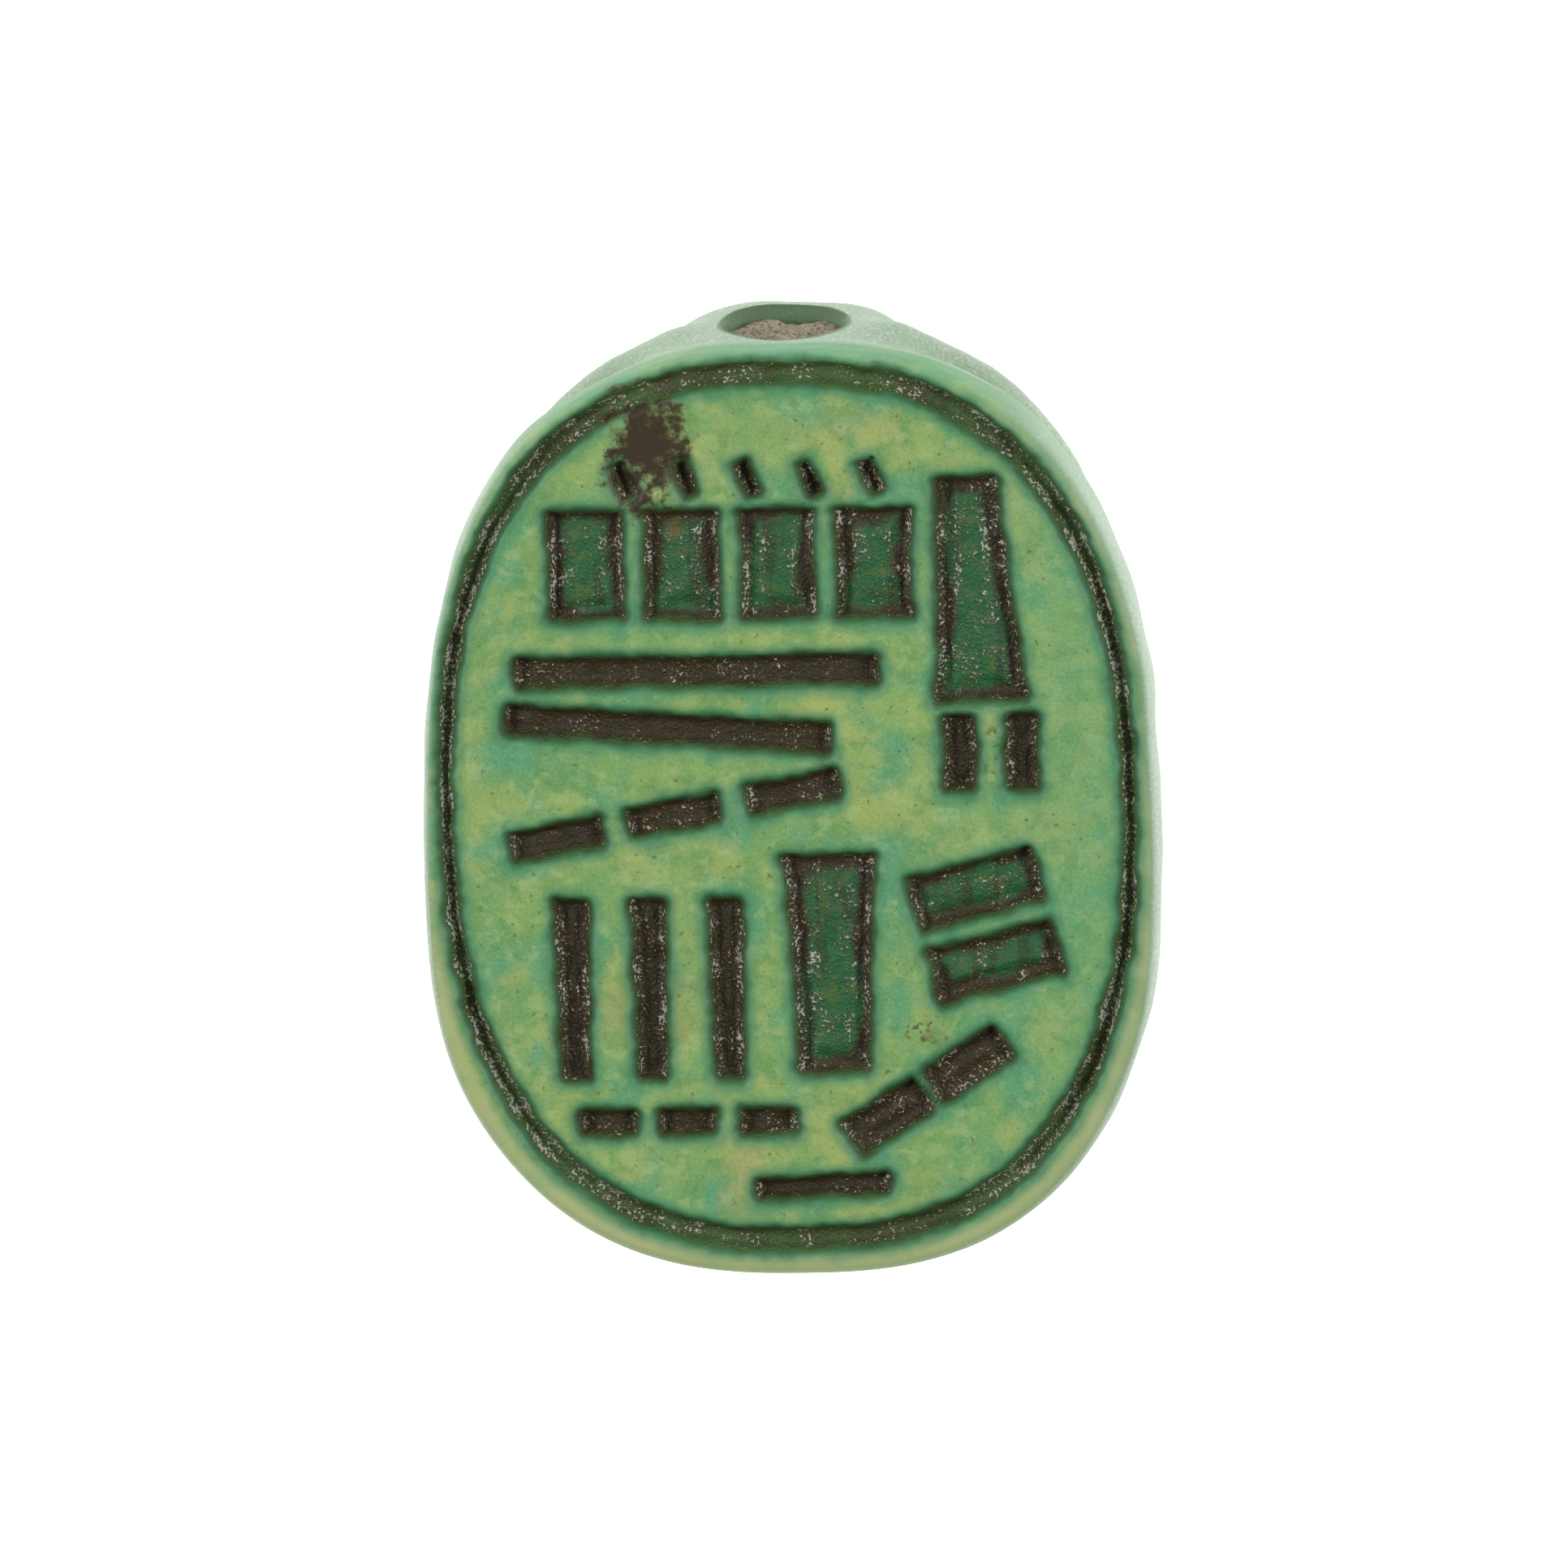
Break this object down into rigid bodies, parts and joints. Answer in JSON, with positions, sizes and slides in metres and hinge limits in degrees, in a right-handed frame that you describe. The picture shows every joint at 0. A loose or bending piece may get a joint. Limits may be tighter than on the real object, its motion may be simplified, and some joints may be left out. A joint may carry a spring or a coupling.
{
  "type": "scarab seal",
  "caption": "Green glazed steatite scarab lying on its back, its oval seal face engraved with a border and rows of strokes, drilled lengthwise for a cord.",
  "frame": {"origin": "under the middle of the oval plate, at the level of the small worn spot on the beetle's back that it lies on", "axes": "+Y towards the beetle's head, +Z out of the engraved seal face, +X across the seal"},
  "size_m": [0.0118, 0.0154, 0.0069],
  "materials": {
    "glazed_steatite": "satin"
  },
  "bodies": {
    "root": {"scarab_seal": "glazed_steatite"}
  },
  "joints": []
}
